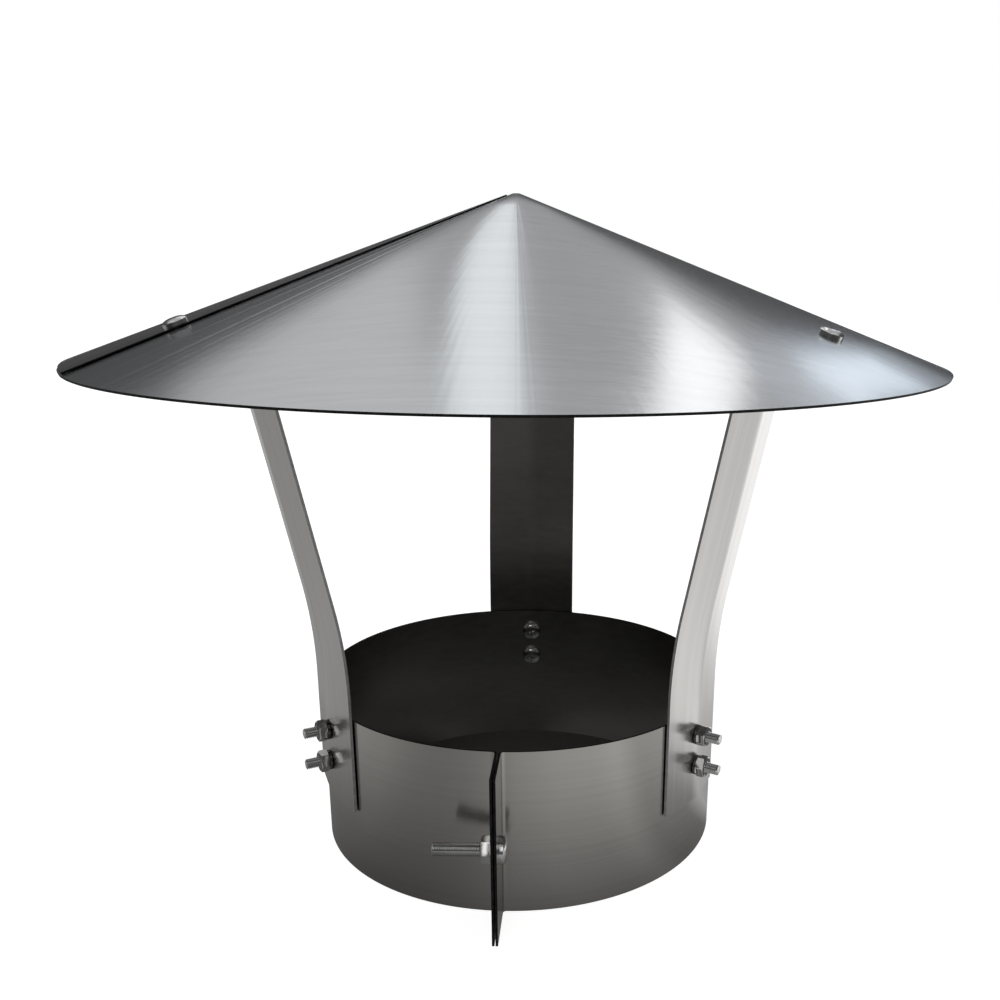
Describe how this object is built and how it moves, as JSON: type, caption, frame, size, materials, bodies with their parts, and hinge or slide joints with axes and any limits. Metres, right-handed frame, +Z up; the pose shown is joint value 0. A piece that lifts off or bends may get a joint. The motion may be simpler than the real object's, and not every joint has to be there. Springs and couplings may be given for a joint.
{
  "type": "chimney rain cap",
  "caption": "Round chimney rain cap: a shallow lapped sheet cone on creased legs over a clamp band that a screw tightens round a flue pipe.",
  "frame": {"origin": "centre of the clamp band's lower edge, on the flue's axis", "axes": "+Z up along the flue's axis, -Y towards the clamp ears, +X along the clamp screw towards its head"},
  "size_m": [0.3, 0.3, 0.2354],
  "materials": {
    "canopy_sheet": "bright rolled",
    "band_sheet": "bright rolled",
    "leg_strip": "bright rolled",
    "fastener": "bright",
    "clamp_fastener": "bright"
  },
  "bodies": {
    "cap": {"canopy_cone": "canopy_sheet", "clamp_band": "band_sheet", "left_leg": "leg_strip", "right_leg": "leg_strip", "back_leg": "leg_strip", "left_canopy_screw": "fastener", "left_leg_upper_screw": "fastener", "left_leg_lower_screw": "fastener", "right_canopy_screw": "fastener", "right_leg_upper_screw": "fastener", "right_leg_lower_screw": "fastener", "back_canopy_screw": "fastener", "back_leg_upper_screw": "fastener", "back_leg_lower_screw": "fastener", "left_canopy_nut": "fastener", "left_leg_upper_nut": "fastener", "left_leg_lower_nut": "fastener", "right_canopy_nut": "fastener", "right_leg_upper_nut": "fastener", "right_leg_lower_nut": "fastener", "back_canopy_nut": "fastener", "back_leg_upper_nut": "fastener", "back_leg_lower_nut": "fastener"},
    "clamp_screw_body": {"clamp_screw": "clamp_fastener"},
    "clamp_nut_body": {"clamp_nut": "clamp_fastener"}
  },
  "joints": [
    {"name": "clamp_nut_travel", "type": "slide", "parent": "cap", "child": "clamp_nut_body", "axis": [-1, 0, 0], "range_m": [0, 0.0159]},
    {"name": "clamp_screw_turn", "type": "hinge", "parent": "cap", "child": "clamp_screw_body", "pos_m": [0, -0.0863, 0.03], "axis": [1, 0, 0], "range_deg": [0, 7156]}
  ],
  "couplings": [
    {"joint": "clamp_screw_turn", "follows": "clamp_nut_travel", "rad_per_m": 7854}
  ]
}
